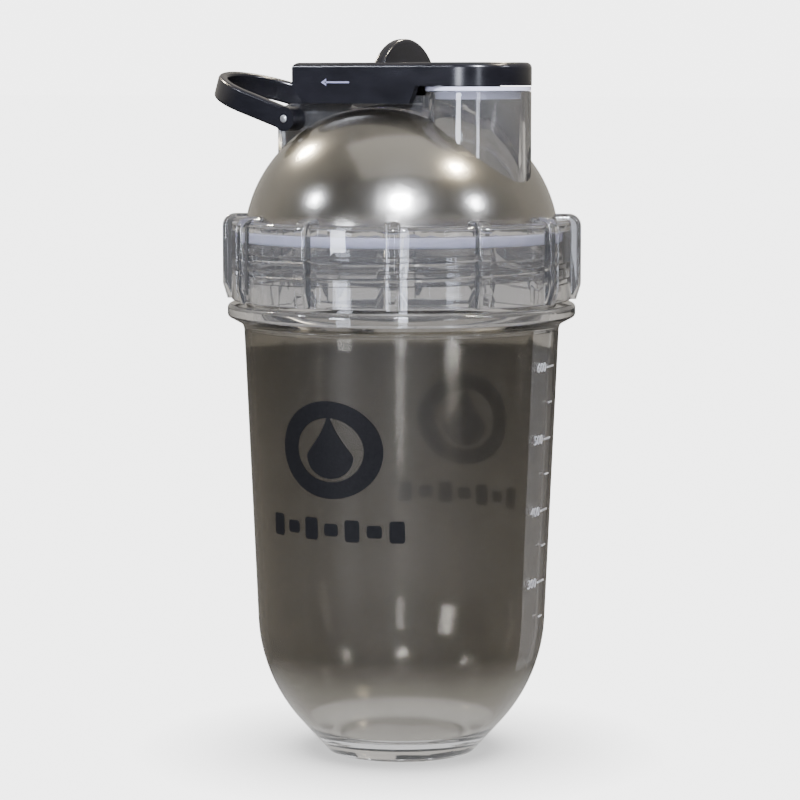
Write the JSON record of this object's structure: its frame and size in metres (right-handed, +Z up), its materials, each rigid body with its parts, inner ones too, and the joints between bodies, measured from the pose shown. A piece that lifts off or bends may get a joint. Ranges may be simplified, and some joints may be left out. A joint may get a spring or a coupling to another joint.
{
  "type": "shaker bottle",
  "caption": "Shaker bottle: tinted clear cup with a rounded bottom, screw-on dome with drinking spout, sliding flip lid and carry loop",
  "frame": {"origin": "centre of the foot, on the surface the bottle stands on", "axes": "+Z up along the bottle's axis, +X from the carry loop to the drinking spout, +Y across the hinge pin"},
  "size_m": [0.1099, 0.1, 0.1992],
  "materials": {
    "tinted_plastic": "gloss",
    "clear_plastic": "gloss",
    "black_plastic": "gloss",
    "seal_rubber": "matt",
    "pin_steel": "satin"
  },
  "bodies": {
    "cup": {"cup": "tinted_plastic"},
    "rim": {"rim_seal": "seal_rubber"},
    "top": {"top_shell": "clear_plastic", "hinge_pin": "pin_steel"},
    "loop": {"carry_loop": "black_plastic"},
    "lid": {"lid_plate": "black_plastic", "spout_seal": "seal_rubber"},
    "cover": {"slide_cover": "black_plastic"}
  },
  "joints": [
    {"name": "top_rise", "type": "slide", "parent": "cup", "child": "rim", "axis": [0, 0, 1], "range_m": [0, 0.0126]},
    {"name": "top_turn", "type": "hinge", "parent": "rim", "child": "top", "pos_m": [0, 0, 0.1465], "axis": [0, 0, 1], "range_deg": [0, 1080]},
    {"name": "loop_swing", "type": "hinge", "parent": "top", "child": "loop", "pos_m": [-0.0272, 0, 0.17717], "axis": [0, 1, 0], "range_deg": [-60, 8]},
    {"name": "lid_flip", "type": "hinge", "parent": "top", "child": "lid", "pos_m": [-0.0272, 0, 0.17717], "axis": [0, -1, 0], "range_deg": [0, 100]},
    {"name": "cover_slide", "type": "slide", "parent": "lid", "child": "cover", "axis": [-1, 0, 0], "range_m": [0, 0.007]}
  ],
  "couplings": [
    {"joint": "top_rise", "follows": "top_turn", "m_per_rad": 0.00066845}
  ]
}
